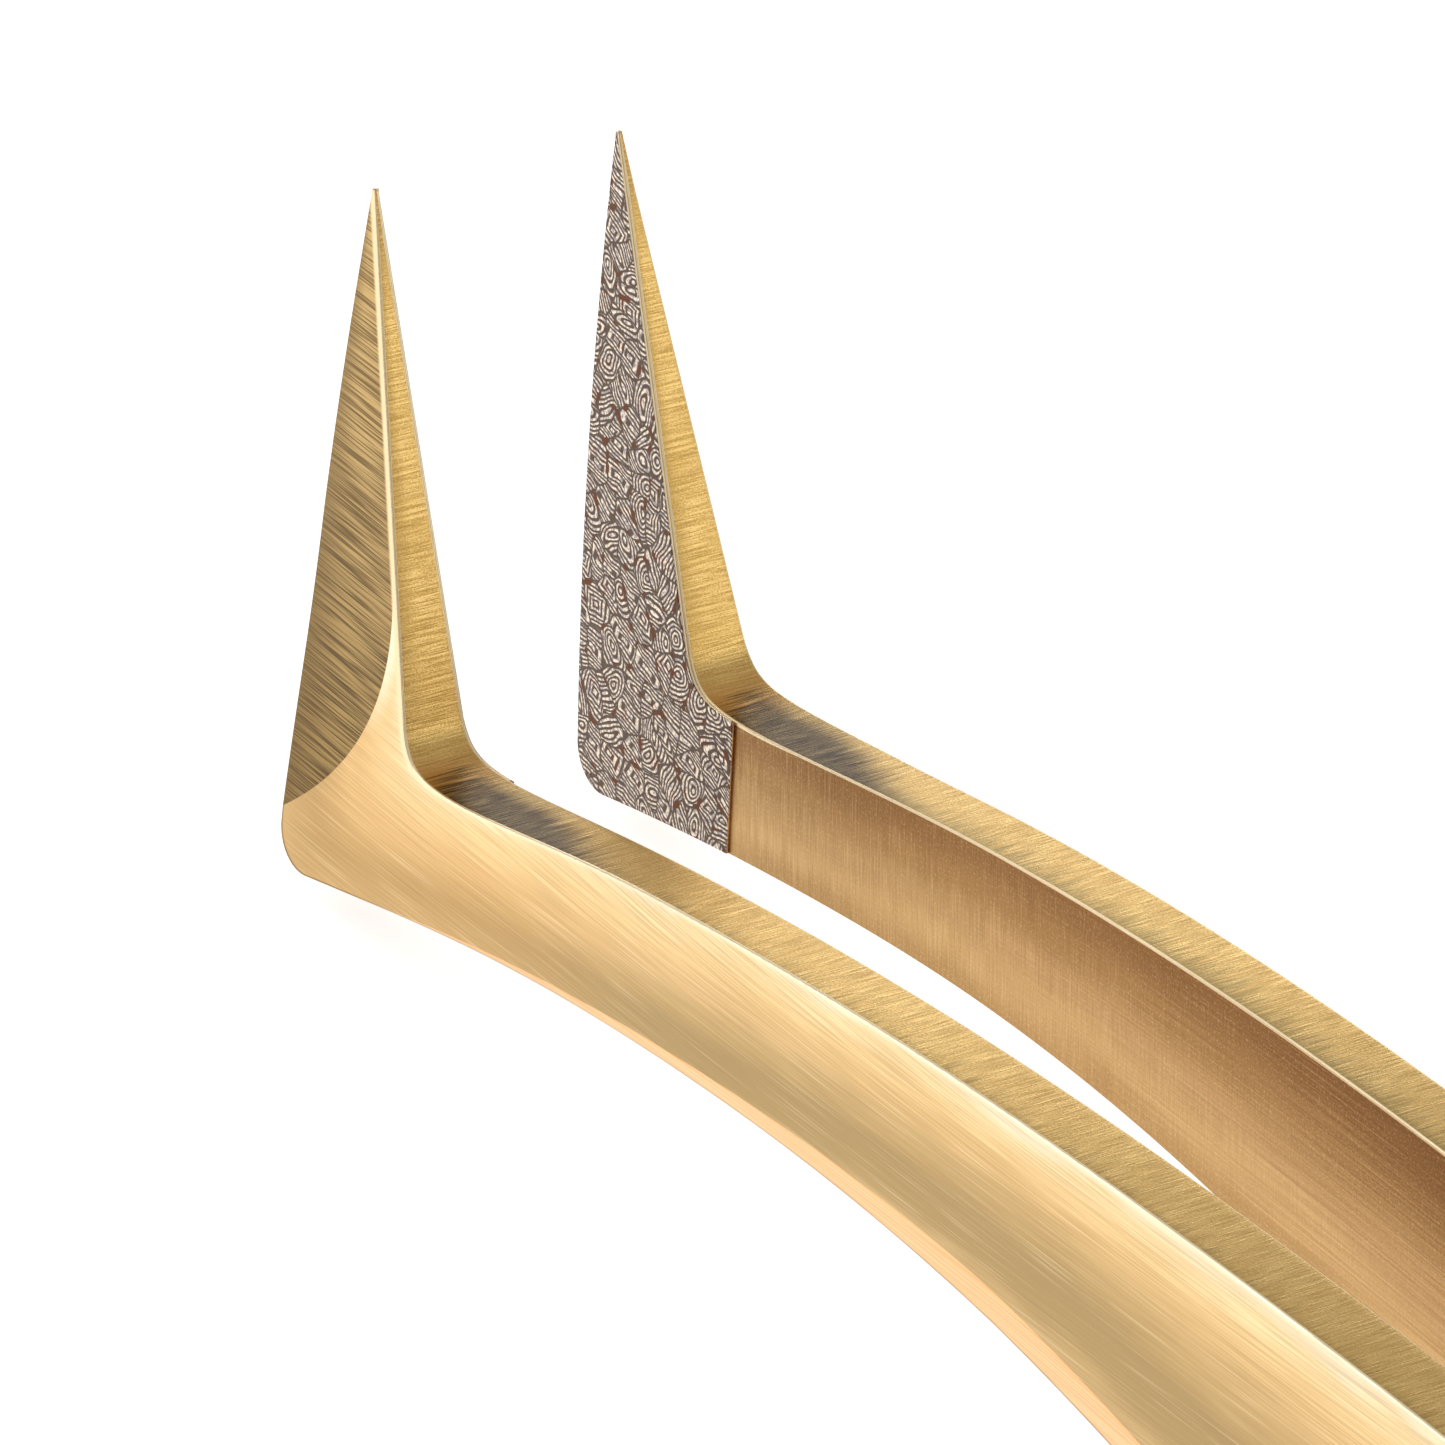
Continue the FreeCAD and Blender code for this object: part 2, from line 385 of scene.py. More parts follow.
def arm_surface():
    """Grid of points around the arm, station by station, with the facts each shader needs.

    Each row runs up the inner face, out over the upper side, down the outer face and in along
    the lower side. Down is the distance from the upper edge, and out the distance from the inner face.
    """
    upper, lower, along = stations()
    width = np.hypot(*(upper - lower).T)
    across = (lower - upper) / width[:, None]
    thinner = np.minimum(outer_depth(*upper.T), outer_depth(*lower.T))
    narrow = ROUND_WIDTH_SHARE * width
    inner_round = np.minimum(np.minimum(INNER_ROUND, narrow), INNER_ROUND_SHARE * thinner)
    outer_round = np.minimum(np.minimum(OUTER_ROUND, narrow), OUTER_ROUND_SHARE * thinner)

    def place(down):
        return upper[:, None, :] + across[:, None, :] * down[..., None]

    down_inner = face_samples(width, inner_round)
    xz_inner = place(down_inner)
    out_inner = rounded_drop(down_inner, width, inner_round)

    crown_share = smoothstep(CROWN_START, CROWN_FULL, along)[:, None]
    bevel_share = np.clip((along - BEVEL_START) / (BEVEL_FULL - BEVEL_START), 0, 1)[:, None]
    bevel_width = BEVEL_WIDTH * bevel_share
    down_outer = face_samples(width, outer_round)
    xz_outer = place(down_outer)
    crown = CROWN_DROP * np.clip(1 - down_outer / CROWN_WIDTH, 0, 1) ** 2 * crown_share
    bevel = BEVEL_SLOPE * np.maximum(bevel_width - (width[:, None] - down_outer), 0)
    out_outer = outer_depth(xz_outer[..., 0], xz_outer[..., 1]) - crown - bevel
    out_outer = out_outer - rounded_drop(down_outer, width, outer_round)

    t = np.linspace(0, 1, SIDE_COUNT + 2)[1:-1]
    out_up = out_inner[:, :1] + (out_outer[:, :1] - out_inner[:, :1]) * t
    out_low = out_outer[:, -1:] + (out_inner[:, -1:] - out_outer[:, -1:]) * t
    xz_up = np.repeat(upper[:, None, :], SIDE_COUNT, 1)
    xz_low = np.repeat(lower[:, None, :], SIDE_COUNT, 1)
    down_low = np.repeat(width[:, None], SIDE_COUNT, 1)

    xz = np.concatenate([xz_inner[:, ::-1], xz_up, xz_outer, xz_low], 1)
    out = np.concatenate([out_inner[:, ::-1], out_up, out_outer, out_low], 1)
    down = np.concatenate([down_inner[:, ::-1], np.zeros_like(out_up), down_outer, down_low], 1)
    inner_zone = [0] * (down_inner.shape[1] - 1)
    side_zone = [1] * (SIDE_COUNT + 1)
    outer_zone = [2] * (down_outer.shape[1] - 1)
    return {
        "xyz": np.stack([xz[..., 0], inner_y(xz[..., 0]) + out, xz[..., 1]], -1),
        "lay": np.stack([np.repeat(along[:, None], out.shape[1], 1), down, out], -1),
        "facet": facet_inside(xz[..., 0], xz[..., 1]),
        "bevel": bevel_width - (width[:, None] - down),
        "share": down / width[:, None],
        "depth": np.clip(out / thinner[:, None], 0, 1),
        "zone": inner_zone + side_zone + outer_zone + side_zone,
    }


def row_point(xyz, side):
    """Row-frame metres for points in mm measured from the heel; side is 1 for far, -1 for near."""
    point = np.array(xyz, float)
    point[..., 0] += HEEL_X
    point[..., 1] *= side
    return point * MM


def add_mesh(name, points, faces, facts, slots, materials, flip):
    """A smooth mesh object that carries the facts as point attributes for its materials."""
    mesh = bpy.data.meshes.new(name)
    if flip:
        faces = [face[::-1] for face in faces]
    mesh.from_pydata(points.tolist(), [], faces)
    for key, values in facts.items():
        kind, field = ("FLOAT_VECTOR", "vector") if values.ndim == 2 else ("FLOAT", "value")
        layer = mesh.attributes.new(key, kind, "POINT")
        layer.data.foreach_set(field, values.astype(np.float32).ravel())
    for material in materials:
        mesh.materials.append(material)
    mesh.polygons.foreach_set("material_index", slots)
    mesh.polygons.foreach_set("use_smooth", [True] * len(mesh.polygons))
    mesh.update()
    obj = bpy.data.objects.new(name, mesh)
    bpy.context.scene.collection.objects.link(obj)
    return obj


def build_arm(name, side, materials):
    """One arm as a closed tube of stations, with a cap at the tip and one at the tail."""
    grid = arm_surface()
    rows, cols = grid["facet"].shape
    faces, slots = [], []
    for i in range(rows - 1):
        for j in range(cols):
            k = (j + 1) % cols
            faces.append([i * cols + j, i * cols + k, (i + 1) * cols + k, (i + 1) * cols + j])
            slots.append(grid["zone"][j])
    faces.append(list(range(cols))[::-1])
    faces.append([(rows - 1) * cols + j for j in range(cols)])
    slots += [1, 1]
    facts = {
        "at": grid["xyz"].reshape(-1, 3),
        "lay": grid["lay"].reshape(-1, 3),
        "facet": grid["facet"].ravel(),
        "bevel": grid["bevel"].ravel(),
        "share": grid["share"].ravel(),
        # on both arms, from 0 on the face towards +Y to 1 on the face towards -Y
        "depth": (grid["depth"] if side < 0 else 1 - grid["depth"]).ravel(),
    }
    points = row_point(grid["xyz"].reshape(-1, 3), side)
    return add_mesh(name, points, faces, facts, slots, materials, side < 0)


# ---------------------------------------------------------------- grip lining


def lining_surface():
    """Points across the foot, station by station, cut off at the lining's rear boundary."""
    upper, lower, _ = stations()
    past_up = upper[:, 0] - lining_rear_x(upper[:, 1])
    past_low = lower[:, 0] - lining_rear_x(lower[:, 1])
    keep = past_low < 0
    upper, lower, past_up, past_low = upper[keep], lower[keep], past_up[keep], past_low[keep]
    width = np.hypot(*(upper - lower).T)
    inset = np.minimum(LINING_INSET / width, LINING_INSET_SHARE)
    end = 1 - inset
    start = np.where(past_up > 0, past_up / np.maximum(past_up - past_low, 1e-6), inset)
    start = np.minimum(start, end - LINING_LEAST_SHARE)
    t = start[:, None] + (end - start)[:, None] * np.linspace(0, 1, LINING_COLUMNS)
    return upper[:, None, :] + (lower - upper)[:, None, :] * t[..., None]


def build_lining(name, side, materials):
    """A thin plate on the foot's inner face, its front set off by LINING_THICKNESS."""
    x, z = np.moveaxis(lining_surface(), -1, 0)
    rows, cols = x.shape
    front = np.stack([x, foot_y(x) - LINING_THICKNESS, z], -1).reshape(-1, 3)
    back = np.stack([x, foot_y(x) - LINING_BACK_GAP, z], -1).reshape(-1, 3)
    points = np.concatenate([front, back])
    behind = rows * cols
    faces = []
    for i in range(rows - 1):
        for j in range(cols - 1):
            a, b = i * cols + j, i * cols + j + 1
            c, d = b + cols, a + cols
            faces.append([a, b, c, d])
            faces.append([behind + d, behind + c, behind + b, behind + a])
    border = [i * cols for i in range(rows)]
    border += [(rows - 1) * cols + j for j in range(1, cols)]
    border += [i * cols + cols - 1 for i in range(rows - 2, -1, -1)]
    border += [j for j in range(cols - 2, 0, -1)]
    slots = [0] * len(faces) + [1] * len(border)
    for a, b in zip(border, border[1:] + border[:1]):
        faces.append([a, b, behind + b, behind + a])
    # the border takes the arm's painted edge highlight, except along the rear boundary
    lay = points.copy()
    at_rear = points[:, 0] > lining_rear_x(points[:, 2]) - LINING_REAR_EDGE
    lay[:, 1] = np.where(at_rear, 1.0, 0.0)
    facts = {"at": points, "lay": lay}
    return add_mesh(name, row_point(points, side), faces, facts, slots, materials, side > 0)


# ---------------------------------------------------------------- shader graphs


class Graph:
    """Short-hand for building one material's nodes."""

    def __init__(self, name):
        self.material = bpy.data.materials.new(name)
        self.material.use_nodes = True
        self.tree = self.material.node_tree
        self.shader = self.tree.nodes["Principled BSDF"]

    def link(self, value, socket):
        if isinstance(value, bpy.types.NodeSocket):
            self.tree.links.new(value, socket)
        else:
            socket.default_value = value

    def add(self, kind, output=0, inputs=(), **props):
        node = self.tree.nodes.new(kind)
        for key, value in props.items():
            setattr(node, key, value)
        for key, value in dict(inputs).items():
            self.link(value, node.inputs[key])
        return node.outputs[output]

    def fact(self, name, output="Fac"):
        """One of the facts that add_mesh stored: a number, or a vector with output Vector."""
        return self.add("ShaderNodeAttribute", output, attribute_name=name)

    def math(self, operation, a, b=0.0, c=0.0):
        return self.add("ShaderNodeMath", 0, {0: a, 1: b, 2: c}, operation=operation)

    def plus(self, a, b):
        return self.math("ADD", a, b)

    def minus(self, a, b):
        return self.math("SUBTRACT", a, b)

    def times(self, a, b):
        return self.math("MULTIPLY", a, b)

    def leaned(self, a, lean, b):
        """b plus a share of a, which turns a pattern's direction."""
        return self.math("MULTIPLY_ADD", a, lean, b)

    def swing(self, noise, size):
        """A noise value as an offset to both sides of zero."""
        return self.times(self.minus(noise, 0.5), size)

    def vector_math(self, operation, a, b):
        return self.add("ShaderNodeVectorMath", 0, {0: a, 1: b}, operation=operation)

    def split(self, vector):
        node = self.tree.nodes.new("ShaderNodeSeparateXYZ")
        self.link(vector, node.inputs[0])
        return node.outputs

    def join(self, x, y):
        return self.add("ShaderNodeCombineXYZ", 0, {0: x, 1: y})

    def noise(self, vector, scale, detail, rough=0.5, output=0):
        inputs = {"Vector": vector, "Scale": scale, "Detail": detail, "Roughness": rough}
        return self.add("ShaderNodeTexNoise", output, inputs)

    def pattern(self, a, a_rate, b, b_rate, detail, rough=0.5):
        """Noise over two measures, each with its own number of features per mm."""
        return self.noise(self.join(self.times(a, a_rate), self.times(b, b_rate)), 1.0, detail, rough)

    def grain(self, along, across, length, pitch, detail):
        """Noise drawn out into scratches: length along them, pitch across them, in mm."""
        return self.pattern(along, 1 / length, across, 1 / pitch, detail, 0.55)

    def drift(self, vector, at, scale, detail, size):
        """The vector moved about in x and y by noise read at another vector."""
        noise = self.noise(at, scale, detail, output=1)
        offset = self.vector_math("SUBTRACT", noise, (0.5, 0.5, 0.5))
        return self.vector_math("ADD", vector, self.vector_math("MULTIPLY", offset, (size, size, 0)))

    def cells(self, vector, feature="F1"):
        """The outputs of a flat pattern of cells, LINING_CELLS of them per mm."""
        node = self.tree.nodes.new("ShaderNodeTexVoronoi")
        node.voronoi_dimensions = "2D"
        node.feature = feature
        self.link(vector, node.inputs["Vector"])
        node.inputs["Scale"].default_value = LINING_CELLS
        return node.outputs

    def ramp(self, value, low, high, out_low=0.0, out_high=1.0, kind="SMOOTHSTEP"):
        inputs = {0: value, 1: low, 2: high, 3: out_low, 4: out_high}
        return self.add("ShaderNodeMapRange", 0, inputs, interpolation_type=kind)

    def window(self, value, start, full, fade, end):
        """1 between full and fade, falling to 0 at start and end."""
        return self.times(self.ramp(value, start, full), self.ramp(value, fade, end, 1.0, 0.0))

    def colour_ramp(self, value, stops):
        """A colour that runs through the given (place, colour) stops."""
        node = self.tree.nodes.new("ShaderNodeValToRGB")
        self.link(value, node.inputs[0])
        ramp = node.color_ramp
        ramp.interpolation = "EASE"
        while len(ramp.elements) < len(stops):
            ramp.elements.new(0.5)
        for element, (place, colour) in zip(ramp.elements, stops):
            element.position = place
            element.color = (*colour, 1)
        return node.outputs[0]

    def mix_colour(self, share, a, b):
        node = self.tree.nodes.new("ShaderNodeMix")
        node.data_type = "RGBA"
        self.link(share, node.inputs[0])
        self.link(a, node.inputs[6])
        self.link(b, node.inputs[7])
        return node.outputs[2]

    def mix_value(self, share, a, b):
        node = self.tree.nodes.new("ShaderNodeMix")
        self.link(share, node.inputs[0])
        self.link(a, node.inputs[2])
        self.link(b, node.inputs[3])
        return node.outputs[0]

    def finish(self, colour, roughness, relief, strength, distance=0.00003, metallic=1.0):
        inputs = {"Height": relief, "Strength": strength, "Distance": distance}
        self.link(colour, self.shader.inputs["Base Color"])
        self.link(roughness, self.shader.inputs["Roughness"])
        self.link(self.add("ShaderNodeBump", 0, inputs), self.shader.inputs["Normal"])
        self.link(metallic, self.shader.inputs["Metallic"])
        return self.material


# ---------------------------------------------------------------- narrow sides

SIDE_LOW = (0.55, 0.335, 0.088, 1)
SIDE_HIGH = (0.93, 0.635, 0.235, 1)
SIDE_BLOTCH = (0.62, 0.38, 0.10, 1)
SIDE_EDGE = (0.40, 0.24, 0.065, 1)
SIDE_DULL = (0.22, 0.165, 0.05, 1)
SIDE_REAR = (0.36, 0.22, 0.065, 1)
SIDE_TIP = (0.30, 0.17, 0.055, 1)
CROOK_TONE = (0.62, 0.30, 0.08, 1)
# painted dark reflection, for patches just behind the crook
PAINTED_DARK_REFLECTION = (0.034, 0.015, 0.001, 1)
# distances along the arm at which each stretch starts, is full, fades and ends
DULL_STRETCH = (17.0, 19.0, 120.0, 126.0)
TINT_STRETCH = (12.6, 13.6, 14.2, 15.2)


def sides_material():
    """Ground narrow sides: short scratches run straight through the thickness of the steel."""
    g = Graph("gold_steel_sides")
    along, _, out = g.split(g.fact("lay", "Vector"))
    depth = g.fact("depth")
    fine = g.grain(out, along, 0.9, 0.032, 1.0)
    coarse = g.grain(out, along, 1.8, 0.075, 2.0)
    speck = g.pattern(along, 22, out, 22, 1.0)
    blotch = g.pattern(along, 0.7, out, 0.6, 3.0)
    tone = g.plus(g.times(fine, 0.45), g.times(coarse, 0.25))
    tone = g.plus(tone, g.times(speck, 0.3))
    colour = g.mix_colour(g.ramp(tone, 0.38, 0.62), SIDE_LOW, SIDE_HIGH)
    colour = g.mix_colour(g.ramp(blotch, 0.42, 0.68, 0.0, 0.3), colour, SIDE_BLOTCH)
    # on the foot the edge towards -Y is darker
    edge = g.times(g.ramp(depth, 0.55, 0.98, 0.0, 0.5), g.ramp(along, 11.0, 14.0, 1.0, 0.0))
    colour = g.mix_colour(edge, colour, SIDE_EDGE)
    # behind the crook the half towards -Y is duller, with a ragged boundary
    ragged = g.plus(depth, g.swing(coarse, 1.6))
    dull = g.times(g.ramp(ragged, 0.62, 1.05), g.window(along, *DULL_STRETCH))
    colour = g.mix_colour(g.times(dull, 0.65), colour, SIDE_DULL)
    # an orange-brown tone in the crook, and a painted dark reflection in patches just behind it
    colour = g.mix_colour(g.times(g.window(along, *TINT_STRETCH), 0.55), colour, CROOK_TONE)
    streak = g.plus(along, g.swing(coarse, 3.2))
    painted_dark_reflection = g.ramp(g.leaned(depth, -0.6, streak), 13.2, 14.3)
    painted_dark_reflection = g.times(painted_dark_reflection, g.ramp(g.leaned(depth, -4.5, streak), 15.0, 18.4, 1.0, 0.0))
    painted_dark_reflection = g.times(painted_dark_reflection, g.ramp(depth, 0.05, 0.45, 0.45, 1.0))
    painted_dark_reflection = g.times(painted_dark_reflection, g.ramp(fine, 0.36, 0.60, 1.0, 0.82))
    colour = g.mix_colour(painted_dark_reflection, colour, PAINTED_DARK_REFLECTION)
    colour = g.mix_colour(g.ramp(along, 30.0, 44.0, 0.0, 0.3), colour, SIDE_REAR)
    tip = g.times(g.ramp(along, 0.5, 3.2, 1.0, 0.0), g.ramp(coarse, 0.4, 0.6, 0.2, 0.8))
    colour = g.mix_colour(tip, colour, SIDE_TIP)
    return g.finish(colour, g.ramp(tone, 0.35, 0.65, 0.40, 0.26), tone, 0.4)


# ---------------------------------------------------------------- outer face

# colours down the face, from its upper edge (0) to its lower edge (1): on the foot, and behind it;
# painted highlight near the upper edge and painted shade lower down
FRONT_LIGHT_AND_SHADE_STOPS = [
    (0.0, (0.97, 0.74, 0.42)),
    (0.12, (0.90, 0.62, 0.29)),
    (0.4, (0.78, 0.48, 0.19)),
    (0.7, (0.60, 0.36, 0.135)),
    (1.0, (0.66, 0.42, 0.17)),
]
OUTER_LIGHT_AND_SHADE_STOPS = [
    (0.0, (0.97, 0.80, 0.55)),
    (0.07, (0.94, 0.70, 0.38)),
    (0.22, (0.86, 0.60, 0.295)),
    (0.42, (0.73, 0.49, 0.225)),
    (0.58, (0.57, 0.385, 0.165)),
    (0.74, (0.43, 0.295, 0.127)),
    (0.88, (0.44, 0.305, 0.13)),
    (1.0, (0.58, 0.40, 0.18)),
]
BRUSH_LOW = (0.40, 0.25, 0.10, 1)
BRUSH_HIGH = (1.0, 0.84, 0.54, 1)
FACET_LOW_HEEL = (0.085, 0.045, 0.010, 1)
FACET_LOW_TIP = (0.21, 0.125, 0.034, 1)
FACET_HIGH_HEEL = (0.37, 0.235, 0.075, 1)
FACET_HIGH_TIP = (0.60, 0.40, 0.155, 1)
FACET_FRONT = (0.16, 0.09, 0.025, 1)
POLISH_LOW = (0.80, 0.46, 0.175, 1)
POLISH_HIGH = (0.90, 0.56, 0.25, 1)
# painted shade for a thin dark line along the lower edge
LOWER_EDGE_SHADE = (0.22, 0.12, 0.035, 1)
# painted highlights for the facet's rear ridge and the upper edge
RIDGE_HIGHLIGHT = (1.0, 0.90, 0.68, 1)
RIM_HIGHLIGHT_FOOT = (0.93, 0.72, 0.43, 1)
RIM_HIGHLIGHT_ARM = (1.0, 0.83, 0.56, 1)


def brushed_face(g, x, z, share):
    """Straight brushing along the arm: its colour, its fine tone and its coarse grain."""
    across = g.leaned(x, -0.06, z)
    fine = g.grain(x, across, 2.8, 0.028, 1.0)
    coarse = g.grain(x, across, 6.0, 0.06, 1.0)
    cloud = g.pattern(x, 0.35, z, 0.8, 2.0)
    tone = g.plus(g.times(fine, 0.75), g.times(coarse, 0.25))
    # painted highlight and shade down the face, moved towards shade below the top strip behind the foot
    place = g.plus(share, g.swing(cloud, 0.16))
    place = g.plus(place, g.times(g.ramp(x, 9.0, 26.0), g.ramp(share, 0.04, 0.25, 0.0, 0.22)))
    face = g.colour_ramp(place, OUTER_LIGHT_AND_SHADE_STOPS)
    face = g.mix_colour(g.ramp(x, 6.0, 14.0, 0.7, 0.0), face, g.colour_ramp(share, FRONT_LIGHT_AND_SHADE_STOPS))
    face = g.mix_colour(g.ramp(tone, 0.36, 0.60, 0.34, 0.0), face, BRUSH_LOW)
    face = g.mix_colour(g.ramp(tone, 0.56, 0.70, 0.0, 0.26), face, BRUSH_HIGH)
    return face, tone, coarse


def ground_facet(g, x, z, share):
    """Coarse grinding across the foot, darker towards the heel: its colour and its relief."""
    along = g.leaned(z, 0.11, x)
    across = g.leaned(x, -0.11, z)
    lines = g.grain(along, across, 2.6, 0.034, 1.0)
    broad = g.grain(along, across, 4.0, 0.16, 1.0)
    cut = g.plus(g.times(lines, 0.75), g.times(broad, 0.25))
    rise = g.ramp(z, 2.0, 14.0)
    low = g.mix_colour(rise, FACET_LOW_HEEL, FACET_LOW_TIP)
    high = g.mix_colour(rise, FACET_HIGH_HEEL, FACET_HIGH_TIP)
    ground = g.mix_colour(g.ramp(cut, 0.40, 0.59), low, high)
    ground = g.mix_colour(g.ramp(share, 0.5, 0.95, 0.0, 0.4), ground, FACET_FRONT)
    return ground, cut


def outer_material():
    """Brushed outer face, with a coarse ground facet on the foot and a polished lower bevel."""
    g = Graph("gold_steel_outer")
    _, down, _ = g.split(g.fact("lay", "Vector"))
    x, _, z = g.split(g.fact("at", "Vector"))
    facet = g.fact("facet")
    share = g.fact("share")
    face, tone, coarse = brushed_face(g, x, z, share)
    ground, cut = ground_facet(g, x, z, share)
    is_facet = g.ramp(facet, -0.012, 0.012)
    is_bevel = g.ramp(g.fact("bevel"), -0.02, 0.02)
    polish = g.mix_colour(g.ramp(coarse, 0.4, 0.6), POLISH_LOW, POLISH_HIGH)
    colour = g.mix_colour(is_bevel, face, polish)
    colour = g.mix_colour(is_facet, colour, ground)
    # painted shade: a thin dark line along the lower edge
    colour = g.mix_colour(g.ramp(share, 0.975, 0.99, 0.0, 0.85), colour, LOWER_EDGE_SHADE)
    # painted highlights: bright lines along the facet's rear ridge and along the upper edge
    ridge = g.times(g.window(facet, -0.5, -0.02, -0.02, -0.005), g.ramp(z, 4.5, 7.0))
    colour = g.mix_colour(g.times(ridge, 0.8), colour, RIDGE_HIGHLIGHT)
    rim_highlight = g.ramp(g.minus(down, g.ramp(x, 2.5, 6.0, 0.10, 0.0)), 0.03, 0.17, 1.0, 0.0)
    colour = g.mix_colour(rim_highlight, colour, g.mix_colour(g.ramp(x, 2.5, 6.0), RIM_HIGHLIGHT_FOOT, RIM_HIGHLIGHT_ARM))
    rough = g.mix_value(is_bevel, g.ramp(tone, 0.35, 0.65, 0.38, 0.28), 0.24)
    rough = g.mix_value(is_facet, rough, 0.40)
    relief = g.times(tone, g.minus(1.0, g.times(is_bevel, 0.7)))
    relief = g.mix_value(is_facet, relief, g.times(cut, 1.6))
    return g.finish(colour, rough, relief, 0.3)


# ---------------------------------------------------------------- inner face and grip texture

# painted shade and light down the inner face: darker near the upper edge, lighter lower down
INNER_LIGHT_AND_SHADE_STOPS = [
    (0.0, (0.36, 0.185, 0.06)),
    (0.1, (0.38, 0.20, 0.07)),
    (0.3, (0.47, 0.27, 0.10)),
    (0.55, (0.58, 0.36, 0.155)),
    (0.75, (0.64, 0.41, 0.175)),
    (1.0, (0.50, 0.30, 0.115)),
]
# painted shade for the upper part of the inner face
INNER_UPPER_SHADE = (0.23, 0.10, 0.024, 1)
INNER_LOW = (0.26, 0.14, 0.045, 1)
INNER_HIGH = (0.92, 0.66, 0.34, 1)
INNER_SPECK = (0.90, 0.62, 0.32, 1)
# painted highlight along the upper inner edge
INNER_EDGE_HIGHLIGHT = (1.0, 0.84, 0.56, 1)
GRIP_GROUND = (0.125, 0.085, 0.060, 1)
GRIP_BARE = (0.15, 0.05, 0.018, 1)
GRIP_LINE_LOW = (0.33, 0.275, 0.28, 1)
GRIP_LINE_HIGH = (0.90, 0.77, 0.60, 1)


def inner_material():
    """Matte inner face: upright grain in front, lengthwise scratches farther back."""
    g = Graph("gold_steel_inner")
    along, down, _ = g.split(g.fact("lay", "Vector"))
    x, _, z = g.split(g.fact("at", "Vector"))
    share = g.fact("share")
    upright = g.grain(z, g.leaned(z, 0.18, x), 1.2, 0.05, 1.0)
    lengthwise = g.grain(along, down, 5.0, 0.06, 2.0)
    tone = g.mix_value(g.ramp(x, 10.0, 30.0, 0.2, 0.85), upright, lengthwise)
    speck = g.pattern(x, 16, z, 16, 3.0, 0.7)
    cloud = g.pattern(x, 0.25, z, 0.6, 2.0)
    # painted shade and light: darker near the upper edge, lighter lower down
    face = g.colour_ramp(g.plus(share, g.swing(cloud, 0.25)), INNER_LIGHT_AND_SHADE_STOPS)
    # more painted shade over the upper part, growing farther back
    upper_shade = g.times(g.ramp(x, 12.0, 34.0, 0.0, 0.45), g.ramp(share, 0.1, 0.55, 1.0, 0.0))
    face = g.mix_colour(upper_shade, face, INNER_UPPER_SHADE)
    face = g.mix_colour(g.ramp(tone, 0.34, 0.60, 0.13, 0.0), face, INNER_LOW)
    face = g.mix_colour(g.ramp(tone, 0.56, 0.72, 0.0, 0.2), face, INNER_HIGH)
    face = g.mix_colour(g.ramp(speck, 0.5, 0.72, 0.0, 0.4), face, INNER_SPECK)
    # painted highlight: a bright line along the upper inner edge
    edge_highlight = g.math("LESS_THAN", down, g.ramp(x, 6.0, 8.0, 0.13, 0.075))
    face = g.mix_colour(edge_highlight, face, INNER_EDGE_HIGHLIGHT)
    return g.finish(face, g.ramp(tone, 0.35, 0.65, 0.52, 0.40), tone, 0.3)


def lining_material():
    """Bright bumped lines in nested loops and squared mazes on a dark ground with bare spots."""
    g = Graph("grip_texture")
    x, _, z = g.split(g.fact("at", "Vector"))
    flat = g.join(x, z)
    warped = g.drift(flat, flat, 1.3, 1.0, 0.35)
    warped = g.drift(warped, flat, 3.0, 0.0, 0.08)
    # each cell takes its turn, stretch and kind from its own colour, which the node picks by its place
    cells = g.cells(warped)
    turn_chance, stretch_chance, kind_chance = g.split(cells["Color"])
    is_square = g.math("GREATER_THAN", kind_chance, 0.5)
    centre = g.vector_math("MULTIPLY", cells["Position"], (1, 1, 0))
    local = g.vector_math("SUBTRACT", warped, centre)
    angle = g.times(turn_chance, g.mix_value(is_square, 2 * math.pi, 0.4))
    inputs = {"Vector": local, "Angle": angle}
    turned = g.add("ShaderNodeVectorRotate", 0, inputs, rotation_type="Z_AXIS")
    local_x, local_y, _ = g.split(turned)
    stretch = g.ramp(stretch_chance, 0.0, 1.0, 0.16, 0.95, "LINEAR")
    away_x = g.math("ABSOLUTE", g.times(local_x, stretch))
    away_y = g.math("ABSOLUTE", local_y)
    oval = g.math("SQRT", g.plus(g.times(away_x, away_x), g.times(away_y, away_y)))
    square = g.math("MAXIMUM", away_x, away_y)
    distance = g.mix_value(is_square, oval, square)
    wave = g.math("SINE", g.times(distance, 2 * math.pi / LINING_PITCH))
    # the lines stop short of the cell boundaries, farther from them where the ground is bare
    bare = g.ramp(g.noise(flat, 2.6, 1.0), 0.56, 0.66)
    to_border = g.cells(warped, "DISTANCE_TO_EDGE")["Distance"]
    inside = g.ramp(g.leaned(bare, -0.07, to_border), 0.01, 0.05)
    line = g.times(g.ramp(wave, -0.55, 0.35), inside)
    ground = g.mix_colour(bare, GRIP_GROUND, GRIP_BARE)
    # the lines vary at random from violet-grey to cream: partly their own tone, partly painted
    # highlight
    tone_and_sparkle = g.ramp(g.noise(flat, 11.0, 2.0), 0.38, 0.62)
    colour = g.mix_colour(line, ground, g.mix_colour(tone_and_sparkle, GRIP_LINE_LOW, GRIP_LINE_HIGH))
    rough = g.mix_value(line, 0.5, 0.27)
    return g.finish(colour, rough, line, 0.9, distance=0.00004, metallic=0.9)


# ---------------------------------------------------------------- the object

steel = [inner_material(), sides_material(), outer_material()]
lining = lining_material()
for word, side in (("near", -1), ("far", 1)):
    arm = build_arm("arm_" + word, side, steel)
    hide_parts("arm_" + word + "_blade", "arm_" + word + "_tab")
    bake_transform(arm)
    pad = build_lining("lining_" + word, side, [lining, steel[0]])
    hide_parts("grip_lining_" + word)
    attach(pad, word + "_blade")

